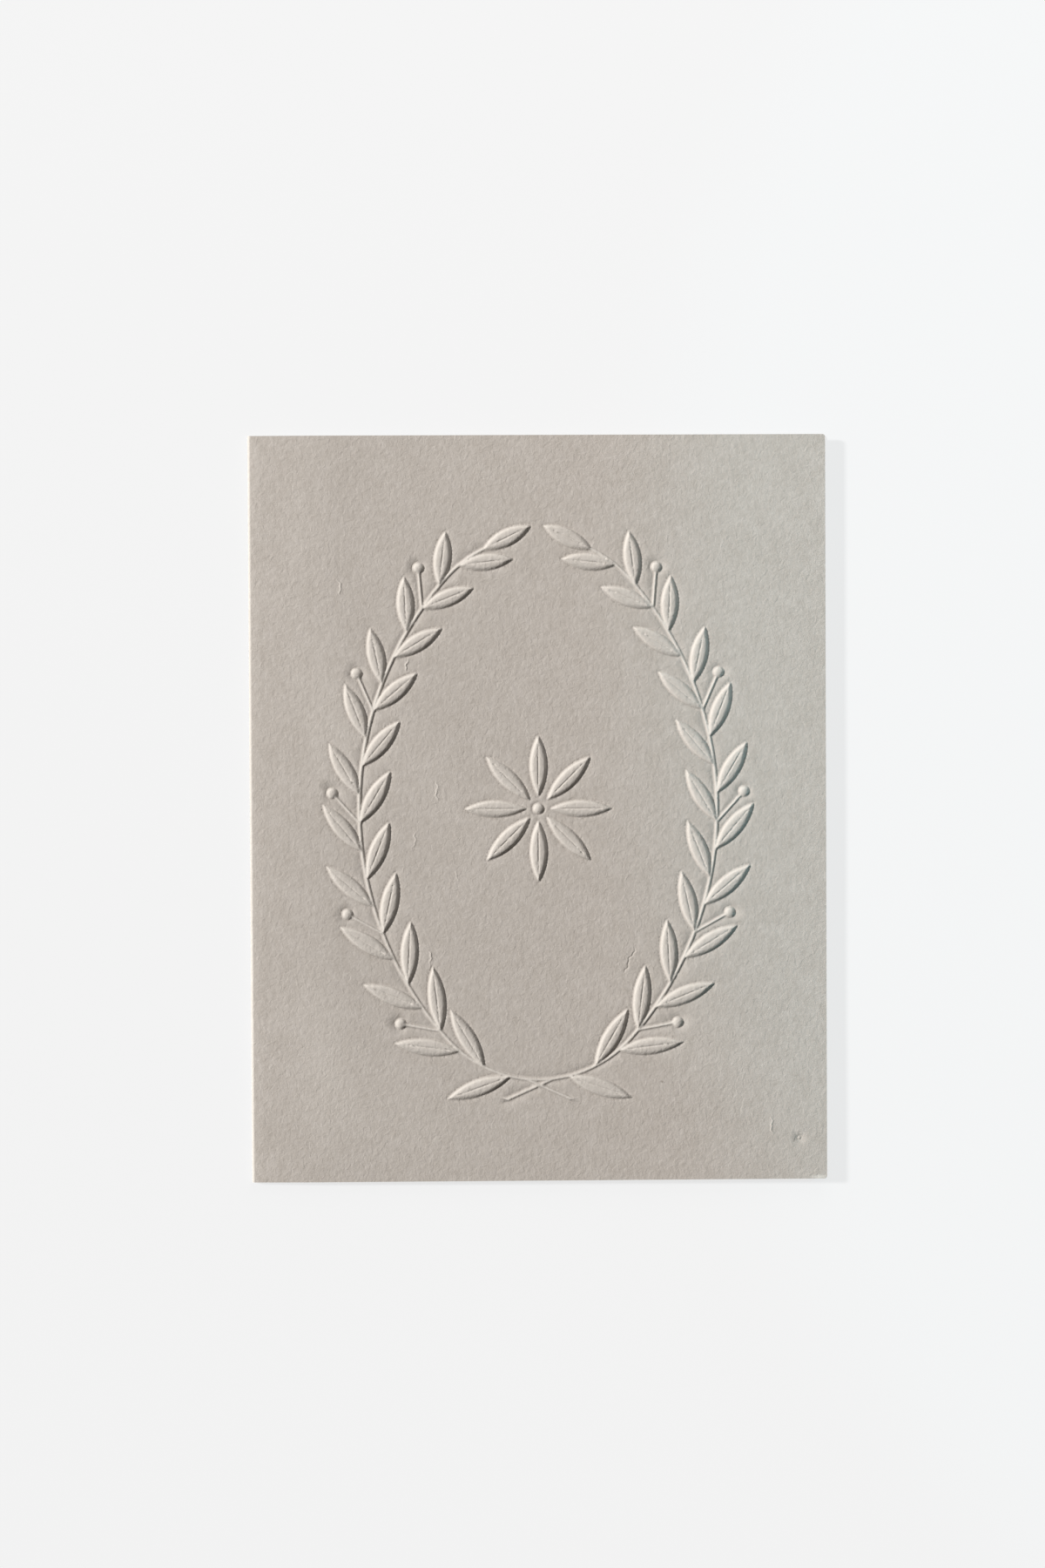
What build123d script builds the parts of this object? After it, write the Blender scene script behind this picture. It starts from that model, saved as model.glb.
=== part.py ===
"""A folded greeting card of heavy uncoated stock with a blind-embossed leaf garland and daisy.

The card is one sheet, creased once and lying closed on its back leaf. +Z is up, +X runs from
the fold to the free edge, +Y runs to the head of the card, and the origin is the middle of the
underside. All sizes are in millimetres and all angles in degrees.
"""

import os
from math import atan2, cos, degrees, radians, sin, sqrt

from build123d import *

# The sheet.
CARD_WIDTH = 108.0  # closed, from the back of the fold to the free edge
CARD_HEIGHT = 139.7
STOCK = 0.45  # thickness of the sheet
CORNER_RADIUS = 0.5  # of the four free corners, in plan

# The fold and the way the front leaf springs open from it.
FOLD_INNER_RADIUS = 0.15
SPRING_ANGLE = 3.9  # slope of the front leaf where it leaves the fold
REST_ANGLE = 0.55  # slope of the flat panel that it settles to
RISE_LENGTH = 16.0  # length of leaf over which the slope eases from one to the other

# The embossing: a rounded swell pressed out of the front leaf from behind.
RELIEF_HEIGHT = 0.55
RELIEF_REACH = 1.1  # distance in from an outline at which the swell is at its full height
RELIEF_POWER = 2.5  # how steep the swell's shoulder is
RELIEF_STEPS = 3  # sloping bands that make up the shoulder
CROWN_SHARE = 0.8  # most of a leaf's half width that its shoulder may take up
RECESS_SETBACK = 0.3  # how far the hollow behind stands in from the outline in front
EMBEDMENT = 0.1  # depth that raised work is rooted in the sheet
BREAKOUT = 0.05  # depth that a hollow's tool starts outside the sheet

# The garland's stem: two branches on one four-centred oval, set in from the card's edges.
SIDE_MARGIN = 20.5  # from the card's edge to the middle of the stem
HEAD_MARGIN = 19.0
END_RADIUS = 23.0  # of the oval's tighter arcs, at its head and foot
STEM_WIDTH = 0.6
STEM_HEIGHT = 0.16
FOOT_CLEARANCE = 5.5  # along the stem, from the foot of the oval to the first leaf
TAIL_LENGTH = 9.0
TAIL_ANGLE = 24.0  # slope of the crossed tails below the foot

# Its leaves, in two staggered rows along each branch.
LEAF_PITCH = 10.4
LEAF_LENGTH_FOOT = 12.6
LEAF_LENGTH_HEAD = 9.8
LEAF_WIDTH = 3.1
LEAF_SPREAD = 33.0  # angle between a leaf and the stem
TIP_CLEARANCE = 0.8  # from the tip of each branch's last leaf to the middle of the head
VEIN_WIDTH = 0.34
VEIN_DEPTH = 0.16
VEIN_MARGIN = 1.6  # from each tip of a leaf to the end of its vein

# Its berries, on stalks that stand between the outer leaves.
BERRY_RADIUS = 1.0
BERRY_HEIGHT = 0.45
STALK_LENGTH = 7.6
STALK_WIDTH = 0.5
STALK_ANGLE = 40.0  # between a stalk and the stem

# The daisy in the middle.
PETAL_COUNT = 8
PETAL_LENGTH = 11.4
PETAL_START = 2.3  # from the daisy's middle to the foot of a petal


def slope_direction(angle):
    """The X and Z parts of a unit vector along a leaf that slopes at angle."""
    return cos(radians(angle)), sin(radians(angle))


def slope_normal(angle):
    """The X and Z parts of the outward normal of a leaf that slopes at angle."""
    return -sin(radians(angle)), cos(radians(angle))


def offset_point(start, direction, distance):
    """The point at a distance from start along a direction, both in the XZ section."""
    return start[0] + direction[0] * distance, start[1] + direction[1] * distance


class Section:
    """The points of the folded sheet's section, seen along the fold."""

    def __init__(self):
        self.fold_outer = FOLD_INNER_RADIUS + STOCK
        self.rise_outer = RISE_LENGTH / radians(SPRING_ANGLE - REST_ANGLE)
        self.fold_centre = (-CARD_WIDTH / 2 + self.fold_outer, self.fold_outer)
        self.free_x = CARD_WIDTH / 2
        spring, rest = slope_normal(SPRING_ANGLE), slope_normal(REST_ANGLE)
        self.fold_end_outer = offset_point(self.fold_centre, spring, self.fold_outer)
        self.fold_end_inner = offset_point(self.fold_centre, spring, FOLD_INNER_RADIUS)
        self.rise_centre = offset_point(self.fold_end_outer, spring, -self.rise_outer)
        self.panel_outer = offset_point(self.rise_centre, rest, self.rise_outer)
        self.panel_inner = offset_point(self.rise_centre, rest, self.rise_outer - STOCK)

    def on_rise(self, angle, radius):
        """A point of the eased stretch, where the leaf slopes at angle."""
        return offset_point(self.rise_centre, slope_normal(angle), radius)

    def on_fold(self, radius):
        """The point of the fold's back at the same height as its centre."""
        return self.fold_centre[0] - radius, self.fold_centre[1]

    def panel_length(self):
        """Length of the flat panel, a little past the line where the card is trimmed."""
        return (self.free_x - self.panel_inner[0]) / cos(radians(REST_ANGLE)) + STOCK

    def panel_plane(self):
        """The outer face of the flat panel: x away from the fold, y to the head, z out."""
        x_part, z_part = slope_direction(REST_ANGLE)
        origin = (self.panel_outer[0], 0, self.panel_outer[1])
        return Plane(origin=origin, x_dir=(x_part, 0, z_part), z_dir=(-z_part, 0, x_part))

    def panel_middle(self):
        """How far along the panel the middle of the card lies."""
        return -self.panel_outer[0] / cos(radians(REST_ANGLE))


def folded_sheet(section):
    """The plain sheet, folded and not yet trimmed to its outline."""
    along = slope_direction(REST_ANGLE)
    middle_slope = (SPRING_ANGLE + REST_ANGLE) / 2
    outer_end = offset_point(section.panel_outer, along, section.panel_length())
    inner_end = offset_point(section.panel_inner, along, section.panel_length())
    past_edge = section.free_x + STOCK
    back_root = section.fold_centre[0]
    outline = [
        Line((back_root, 0), (past_edge, 0)),
        Line((past_edge, 0), (past_edge, STOCK)),
        Line((past_edge, STOCK), (back_root, STOCK)),
        ThreePointArc(
            (back_root, STOCK), section.on_fold(FOLD_INNER_RADIUS), section.fold_end_inner
        ),
        ThreePointArc(
            section.fold_end_inner,
            section.on_rise(middle_slope, section.rise_outer - STOCK),
            section.panel_inner,
        ),
        Line(section.panel_inner, inner_end),
        Line(inner_end, outer_end),
        Line(outer_end, section.panel_outer),
        ThreePointArc(
            section.panel_outer,
            section.on_rise(middle_slope, section.rise_outer),
            section.fold_end_outer,
        ),
        ThreePointArc(
            section.fold_end_outer, section.on_fold(section.fold_outer), (back_root, 0)
        ),
    ]
    profile = Plane.XZ * make_face(outline)
    return extrude(profile, CARD_HEIGHT / 2, both=True)


def trimmed(sheet, section):
    """The sheet cut to the card's outline, with its free corners rounded."""
    reach = 2 * section.rise_outer
    outline = Rectangle(CARD_WIDTH, CARD_HEIGHT)
    free_corners = outline.vertices().group_by(Axis.X)[-1]
    return sheet & extrude(fillet(free_corners, CORNER_RADIUS), reach, both=True)


def swell(distance):
    """Height of the embossing at a distance in from its outline."""
    share = min(1.0, max(0.0, distance / RELIEF_REACH))
    return RELIEF_HEIGHT * (1 - (1 - share) ** RELIEF_POWER)


def leaf_outline(length, inset, height):
    """A pointed leaf from the origin along +X, taken in by inset, as a face at a height."""
    sagitta = LEAF_WIDTH / 2
    full_radius = (length**2 / 4 + sagitta**2) / (2 * sagitta)
    drop = full_radius - sagitta
    radius = full_radius - inset
    half_length = sqrt(radius**2 - drop**2)
    head, foot = length / 2 + half_length, length / 2 - half_length
    sides = [
        ThreePointArc((foot, 0), (length / 2, drop - radius), (head, 0)),
        ThreePointArc((head, 0), (length / 2, radius - drop), (foot, 0)),
    ]
    return Pos(0, 0, height) * make_face(sides)


def stepped_leaf(length, rings):
    """A solid leaf with sloping sides through rings, a list of (inset, height) going up."""
    tiers = []
    for (inset, bottom), (next_inset, top) in zip(rings, rings[1:]):
        taper = degrees(atan2(next_inset - inset, top - bottom))
        tiers.append(extrude(leaf_outline(length, inset, bottom), top - bottom, taper=taper))
    return tiers[0] + tiers[1:]


def crown_inset():
    """Distance in from a leaf's outline to the flat of its crown."""
    return min(RELIEF_REACH, CROWN_SHARE * LEAF_WIDTH / 2)


def shoulder():
    """The (inset, height) pairs of a leaf's rounded side, from its outline to its crown."""
    insets = [crown_inset() * (i / RELIEF_STEPS) ** 1.5 for i in range(RELIEF_STEPS + 1)]
    return [(inset, swell(inset)) for inset in insets]


def raised_leaf(length):
    """A leaf that stands out of the panel, with a vein along its crown."""
    body = stepped_leaf(length, [(0, -EMBEDMENT)] + shoulder())
    crown = swell(crown_inset())
    groove = Plane.YZ * make_face(
        Polyline(
            (-VEIN_WIDTH / 2, crown), (VEIN_WIDTH / 2, crown), (0, crown - VEIN_DEPTH), close=True
        )
    )
    vein = Pos(VEIN_MARGIN, 0, 0) * extrude(groove, length - 2 * VEIN_MARGIN)
    return body - vein


def leaf_hollow(length):
    """The hollow that pressing the same leaf leaves on the inside of the panel."""
    squeeze = (crown_inset() - RECESS_SETBACK) / crown_inset()
    rings = [(RECESS_SETBACK + inset * squeeze, height - STOCK) for inset, height in shoulder()]
    return stepped_leaf(length, [(RECESS_SETBACK, -STOCK - BREAKOUT)] + rings)


def berry_sphere_radius():
    """Radius of the sphere whose cap is a berry."""
    return (BERRY_RADIUS**2 + BERRY_HEIGHT**2) / (2 * BERRY_HEIGHT)


def sphere_cap(radius, bottom):
    """The part above bottom of a sphere concentric with the berry's."""
    centre = BERRY_HEIGHT - berry_sphere_radius()
    keep = Pos(0, 0, bottom) * Box(
        4 * radius, 4 * radius, 4 * radius, align=(Align.CENTER, Align.CENTER, Align.MIN)
    )
    return (Pos(0, 0, centre) * Sphere(radius)) & keep


def raised_berry():
    """A berry that stands out of the panel."""
    return sphere_cap(berry_sphere_radius(), -EMBEDMENT)


def berry_hollow():
    """The hollow behind a berry."""
    return sphere_cap(berry_sphere_radius() - STOCK, -STOCK - BREAKOUT)


def bar(length, width, height):
    """A straight raised line from the origin along +X, rooted in the panel."""
    return Pos(length / 2, 0, (height - EMBEDMENT) / 2) * Box(length, width, height + EMBEDMENT)


class Oval:
    """The four-centred oval that both branches follow, centred on the front of the card."""

    def __init__(self):
        self.half_width = CARD_WIDTH / 2 - SIDE_MARGIN
        self.half_height = CARD_HEIGHT / 2 - HEAD_MARGIN
        excess = self.half_width - END_RADIUS
        self.end_shift = self.half_height - END_RADIUS
        self.side_shift = (self.end_shift**2 - excess**2) / (2 * excess)
        self.side_radius = self.half_width + self.side_shift
        self.join_angle = degrees(atan2(self.end_shift, self.side_shift))
        self.end_run = END_RADIUS * radians(90 - self.join_angle)
        self.side_run = self.side_radius * radians(2 * self.join_angle)
        self.branch_run = 2 * self.end_run + self.side_run

    def region(self, growth):
        """The area within the oval, grown by an amount all round."""
        side, end = self.side_radius + growth, END_RADIUS + growth
        side_sweep, end_sweep = 2 * self.join_angle, 180 - 2 * self.join_angle
        arcs = [
            CenterArc((-self.side_shift, 0), side, -self.join_angle, side_sweep),
            CenterArc((0, self.end_shift), end, self.join_angle, end_sweep),
            CenterArc((self.side_shift, 0), side, 180 - self.join_angle, side_sweep),
            CenterArc((0, -self.end_shift), end, 180 + self.join_angle, end_sweep),
        ]
        return make_face(arcs)

    def station(self, run):
        """The place on the right-hand branch at a run from the foot, with +X up the stem."""
        if run <= self.end_run:
            centre, radius = (0, -self.end_shift), END_RADIUS
            angle = -90 + degrees(run / radius)
        elif run <= self.end_run + self.side_run:
            centre, radius = (-self.side_shift, 0), self.side_radius
            angle = -self.join_angle + degrees((run - self.end_run) / radius)
        else:
            centre, radius = (0, self.end_shift), END_RADIUS
            angle = self.join_angle + degrees((run - self.end_run - self.side_run) / radius)
        x = centre[0] + radius * cos(radians(angle))
        y = centre[1] + radius * sin(radians(angle))
        return Pos(x, y, 0) * Rot(0, 0, angle + 90)

    def head_gap(self):
        """Run between the end of each branch's stem and the middle of the head."""
        return LEAF_LENGTH_HEAD + TIP_CLEARANCE

    def outer_runs(self):
        """The runs from the foot at which the outer leaves grow, the last at the stem's end."""
        start, end = FOOT_CLEARANCE, self.branch_run - self.head_gap()
        count = max(2, round((end - start) / LEAF_PITCH))
        return [start + (end - start) * i / count for i in range(count + 1)]


def midpoints(values):
    """The value halfway between each two neighbours."""
    return [(low + high) / 2 for low, high in zip(values, values[1:])]


def stem(oval):
    """Both branches' stems and their crossed tails."""
    half_gap = degrees(oval.head_gap() / END_RADIUS)
    reach = END_RADIUS + LEAF_WIDTH
    across, up = reach * sin(radians(half_gap)), reach * cos(radians(half_gap))
    wedge = [(0, 0), (across, up), (across, 2 * reach), (-across, 2 * reach), (-across, up)]
    opening = Pos(0, oval.end_shift, 0) * make_face(Polyline(*wedge, close=True))
    ring = oval.region(STEM_WIDTH / 2) - oval.region(-STEM_WIDTH / 2) - opening
    line = Pos(0, 0, -EMBEDMENT) * extrude(ring, STEM_HEIGHT + EMBEDMENT, dir=(0, 0, 1))
    solids = [line]
    for side in (1, -1):
        root = Pos(-side * TAIL_LENGTH / 4, -oval.half_height, 0)
        lean = -TAIL_ANGLE if side > 0 else 180 + TAIL_ANGLE
        solids.append(root * Rot(0, 0, lean) * bar(TAIL_LENGTH, STEM_WIDTH, STEM_HEIGHT))
    return solids


def leaf_length(oval, run):
    """Length of a leaf that grows at a run from the foot; they shorten toward the head."""
    share = run / oval.branch_run
    return LEAF_LENGTH_FOOT + (LEAF_LENGTH_HEAD - LEAF_LENGTH_FOOT) * share


def branch(oval):
    """The raised solids and the hollows of the right-hand branch, without its stem."""
    outer = oval.outer_runs()
    leaves = [(run, -LEAF_SPREAD) for run in outer[:-1]]
    leaves += [(run, LEAF_SPREAD) for run in midpoints(outer)]
    leaves.append((outer[-1], 0.0))
    raised, hollows = [], []
    for run, lean in leaves:
        at = oval.station(run) * Rot(0, 0, lean)
        raised.append(at * raised_leaf(leaf_length(oval, run)))
        hollows.append(at * leaf_hollow(leaf_length(oval, run)))
    for run in midpoints(outer)[1:-1:2]:
        stalk = oval.station(run) * Rot(0, 0, -STALK_ANGLE)
        berry = stalk * Pos(STALK_LENGTH, 0, 0)
        raised.append(stalk * bar(STALK_LENGTH, STALK_WIDTH, STEM_HEIGHT))
        raised.append(berry * raised_berry())
        hollows.append(berry * berry_hollow())
    return raised, hollows


def daisy():
    """The raised solids and the hollows of the daisy in the middle."""
    raised, hollows = [raised_berry()], [berry_hollow()]
    for i in range(PETAL_COUNT):
        at = Rot(0, 0, 90 + 360 * i / PETAL_COUNT) * Pos(PETAL_START, 0, 0)
        raised.append(at * raised_leaf(PETAL_LENGTH))
        hollows.append(at * leaf_hollow(PETAL_LENGTH))
    return raised, hollows


def embossing():
    """All the raised solids and all the hollows, in the panel's own frame."""
    oval = Oval()
    right_raised, right_hollows = branch(oval)
    raised, hollows = daisy()
    raised += stem(oval) + right_raised + [solid.mirror(Plane.YZ) for solid in right_raised]
    hollows += right_hollows + [solid.mirror(Plane.YZ) for solid in right_hollows]
    return raised, hollows


def greeting_card():
    """The whole card as one solid."""
    section = Section()
    sheet = trimmed(folded_sheet(section), section)
    on_panel = section.panel_plane() * Pos(section.panel_middle(), 0, 0)
    raised, hollows = embossing()
    embossed = sheet + [on_panel * solid for solid in raised]
    return embossed - [on_panel * solid for solid in hollows]


if __name__ == "__main__":
    os.makedirs("parts", exist_ok=True)
    card = greeting_card()
    export_step(card, "parts/card.step")
    print("solids", len(card.solids()), "volume", round(card.volume, 1))
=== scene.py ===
"""A folded greeting card of heavy uncoated stock, blind-embossed with a leaf garland and a daisy.

The card is one sheet, creased once and lying closed on its back leaf. Lengths are in
millimetres until a mesh is written, which is in metres.
"""

import logging
import math
from abc import ABC, abstractmethod
from dataclasses import dataclass, field
from enum import Enum
from typing import Any

import bpy
import numpy as np
from mathutils import Euler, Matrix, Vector
from mathutils.geometry import delaunay_2d_cdt


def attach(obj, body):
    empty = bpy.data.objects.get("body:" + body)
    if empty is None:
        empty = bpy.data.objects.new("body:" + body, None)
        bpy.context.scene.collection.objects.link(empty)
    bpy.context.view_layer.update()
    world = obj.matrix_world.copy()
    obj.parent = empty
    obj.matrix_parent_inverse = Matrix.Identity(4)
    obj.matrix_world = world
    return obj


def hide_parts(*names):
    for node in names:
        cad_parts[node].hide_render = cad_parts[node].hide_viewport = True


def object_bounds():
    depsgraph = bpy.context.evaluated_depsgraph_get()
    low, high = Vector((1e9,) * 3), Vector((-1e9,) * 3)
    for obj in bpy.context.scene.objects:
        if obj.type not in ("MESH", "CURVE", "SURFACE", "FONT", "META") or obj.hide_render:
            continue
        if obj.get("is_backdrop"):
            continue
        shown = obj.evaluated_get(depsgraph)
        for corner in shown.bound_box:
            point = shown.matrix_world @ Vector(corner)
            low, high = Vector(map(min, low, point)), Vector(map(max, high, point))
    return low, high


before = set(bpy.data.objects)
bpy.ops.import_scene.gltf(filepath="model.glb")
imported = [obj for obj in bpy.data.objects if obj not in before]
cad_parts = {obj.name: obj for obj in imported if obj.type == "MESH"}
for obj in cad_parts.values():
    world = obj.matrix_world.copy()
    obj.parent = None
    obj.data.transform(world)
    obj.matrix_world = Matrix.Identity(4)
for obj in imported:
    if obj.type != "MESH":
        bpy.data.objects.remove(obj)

METRES = 0.001  # one millimetre
NODE = "card"
OUTSIDE = -9.0  # a depth that stands for far outside every outline
PALE = "#F3F3F3"  # the tabletop, and the room where it is seen
LOG = logging.getLogger("greeting_card")


def linear(colour: str) -> tuple[float, float, float, float]:
    """Turns an sRGB hex colour into a linear one.

    Args:
        colour: Six hex digits after a hash.

    Returns:
        Linear red, green and blue, and an alpha of 1.
    """
    parts = [int(colour[i : i + 2], 16) / 255 for i in (1, 3, 5)]
    red, green, blue = (
        p / 12.92 if p <= 0.04045 else ((p + 0.055) / 1.055) ** 2.4 for p in parts
    )
    return red, green, blue, 1.0


def add_node(
    tree: bpy.types.NodeTree,
    kind: str,
    settings: dict[str, Any] | None = None,
    inputs: dict[str | int, Any] | None = None,
) -> bpy.types.Node:
    """Adds a node to a tree.

    Args:
        tree: The tree that the node joins.
        kind: Blender's name for the node's type.
        settings: Values for the node's own properties.
        inputs: For each input socket, a value or the output socket that feeds it.

    Returns:
        The new node.
    """
    node = tree.nodes.new(kind)
    for name, value in (settings or {}).items():
        setattr(node, name, value)
    for name, value in (inputs or {}).items():
        if isinstance(value, bpy.types.NodeSocket):
            tree.links.new(value, node.inputs[name])
        else:
            node.inputs[name].default_value = value
    return node


def seen(tree: bpy.types.NodeTree) -> bpy.types.NodeSocket:
    """Adds the nodes that tell whether a surface is looked at, rather than lighting another.

    Args:
        tree: The tree that the nodes join.

    Returns:
        1 for what the camera sees, straight or in gloss or glass, and 0 otherwise.
    """
    path = add_node(tree, "ShaderNodeLightPath")
    either = path.outputs["Is Camera Ray"]
    for ray in ("Is Glossy Ray", "Is Transmission Ray"):
        largest = {"operation": "MAXIMUM"}
        both = add_node(tree, "ShaderNodeMath", largest, {0: either, 1: path.outputs[ray]})
        either = both.outputs[0]
    return either


def smooth_step(low: float, high: float, value: np.ndarray) -> np.ndarray:
    """Eases from 0 at low to 1 at high.

    Args:
        low: Value at and below which the result is 0.
        high: Value at and above which the result is 1.
        value: The values to ease.

    Returns:
        The eased values.
    """
    share = np.clip((value - low) / (high - low), 0.0, 1.0)
    return share * share * (3 - 2 * share)


def ripple(points: np.ndarray, period: float, seed: float) -> np.ndarray:
    """A smooth, slow wave over the sheet that doesn't repeat within it.

    Three sines run across, up and aslant. The first two are bent by each other's direction,
    and none of their periods is a multiple of another.

    Args:
        points: Places on the flat sheet, one a row.
        period: About how far apart the crests lie.
        seed: Shifts the wave, so that two don't coincide.

    Returns:
        Heights from about -1 to 1.
    """
    x, y = points[:, 0] * 2 * math.pi / period, points[:, 1] * 2 * math.pi / period
    return (
        np.sin(x + 1.7 * seed + 0.8 * np.sin(0.6 * y + seed))
        + np.sin(0.8 * y + 2.3 * seed + 0.9 * np.sin(0.7 * x - seed))
        + np.sin(0.6 * (x + y) + 3.1 * seed)
    ) / 3


@dataclass(frozen=True)
class FoldedSheet:
    """The sheet's section: how the flat sheet wraps round its fold into a closed card.

    A place on the flat sheet is (run, height up the card). The run starts at the back leaf's
    free edge, goes round the fold and ends at the front leaf's free edge.
    """

    width: float
    height: float
    stock: float = 0.45
    fold_inner_radius: float = 0.15
    spring_angle: float = 3.9  # of the front leaf where it leaves the fold, in degrees
    rest_angle: float = 0.55  # of its flat panel
    rise_length: float = 16.0  # over which the one eases into the other
    corner_radius: float = 0.5

    @property
    def fold_outer_radius(self) -> float:
        """Radius of the back of the fold."""
        return self.fold_inner_radius + self.stock

    @property
    def back_run(self) -> float:
        """Run at which the back leaf meets the fold."""
        return self.width - self.fold_outer_radius

    @property
    def fold_end(self) -> float:
        """Run at which the fold meets the front leaf."""
        return self.back_run + self.fold_outer_radius * math.radians(180 - self.spring_angle)

    @property
    def rise_radius(self) -> float:
        """Radius of the eased stretch of the front leaf."""
        return self.rise_length / math.radians(self.spring_angle - self.rest_angle)

    @property
    def panel_start(self) -> float:
        """Run at which the front leaf's flat panel starts."""
        return self.fold_end + self.rise_length

    @property
    def panel_corner(self) -> tuple[float, float]:
        """Where the flat panel starts.

        Returns:
            X and Z of the outer face there.
        """
        spring, rest = math.radians(self.spring_angle), math.radians(self.rest_angle)
        centre_x = -self.width / 2 + self.fold_outer_radius
        reach = self.fold_outer_radius - self.rise_radius
        x = centre_x - math.sin(spring) * reach - math.sin(rest) * self.rise_radius
        z = self.fold_outer_radius + math.cos(spring) * reach + math.cos(rest) * self.rise_radius
        return x, z

    @property
    def panel_middle(self) -> float:
        """Run of the line up the middle of the card's front."""
        return self.panel_start - self.panel_corner[0] / math.cos(math.radians(self.rest_angle))

    @property
    def flat_width(self) -> float:
        """Width of the sheet before it was creased."""
        half = self.width / 2 / math.cos(math.radians(self.rest_angle))
        return self.panel_middle + half

    def place(self, sheet: np.ndarray, lift: np.ndarray) -> np.ndarray:
        """Carries points from the flat sheet to the closed card.

        Args:
            sheet: Places on the flat sheet, one a row.
            lift: How far each lies outside the sheet's outer face.

        Returns:
            Places in the card's own frame, one a row.
        """
        run = sheet[:, 0]
        root, outer = -self.width / 2 + self.fold_outer_radius, self.fold_outer_radius
        spring, rest = math.radians(self.spring_angle), math.radians(self.rest_angle)
        round_fold = np.clip((run - self.back_run) / outer, 0, math.pi - spring)
        on_rise = np.clip((run - self.fold_end) / self.rise_radius, 0, spring - rest)
        turn = -math.pi / 2 - round_fold - on_rise
        normal_x, normal_z = np.cos(turn), np.sin(turn)
        rise_x = root - math.sin(spring) * (outer - self.rise_radius)
        rise_z = outer + math.cos(spring) * (outer - self.rise_radius)
        along = run - self.panel_start
        on_back, on_fold = run <= self.back_run, run <= self.fold_end
        on_ease = run <= self.panel_start
        choices = [on_back, on_fold, on_ease]
        x = np.select(
            choices,
            [self.width / 2 - run, root + outer * normal_x, rise_x + self.rise_radius * normal_x],
            self.panel_corner[0] + along * math.cos(rest),
        )
        z = np.select(
            choices,
            [np.zeros_like(run), outer + outer * normal_z, rise_z + self.rise_radius * normal_z],
            self.panel_corner[1] + along * math.sin(rest),
        )
        return np.column_stack((x + lift * normal_x, sheet[:, 1], z + lift * normal_z))


@dataclass(frozen=True)
class Press:
    """How the embossing die shapes the stock: a steep foot, a round shoulder, a low crown."""

    relief: float = 0.42
    reach: float = 0.74  # distance in from an outline at which the shoulder ends
    shoulder: float = 2.5  # the higher, the steeper its foot
    crown: float = 0.1  # what the crown still adds, up to its middle
    crown_reach: float = 1.6
    moat_depth: float = 0.1  # the stock is pinched down just outside an outline
    moat_width: float = 0.36

    def swell(self, depth: np.ndarray) -> np.ndarray:
        """Height of the relief.

        Args:
            depth: Distances in from an outline.

        Returns:
            The height at each.
        """
        share = np.clip(depth / self.reach, 0.0, 1.0)
        middle = np.clip(depth / self.crown_reach, 0.0, 1.0)
        round_side = self.relief * (1 - (1 - share) ** self.shoulder)
        return round_side + self.crown * (1 - (1 - middle) ** 2)

    def moat(self, depth: np.ndarray) -> np.ndarray:
        """Drop of the stock at a distance outside an outline, given as a negative depth."""
        share = np.clip(-depth / self.moat_width, 0.0, 1.0)
        return -self.moat_depth * np.sin(np.pi * share) * (depth < 0)


PRESS = Press()


class Motif(ABC):
    """One raised shape of the embossing.

    A depth is a distance in from the shape's outline, and is negative outside it.
    """

    @abstractmethod
    def depth(self, points: np.ndarray) -> np.ndarray:
        """How far in from the outline each point of the panel lies."""

    @abstractmethod
    def rise(self, points: np.ndarray) -> np.ndarray:
        """Height of the shape at each point of the panel."""

    @abstractmethod
    def rows(self) -> list[tuple[float, np.ndarray]]:
        """The rows of mesh points that the shape needs: each a depth and its points."""


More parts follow.
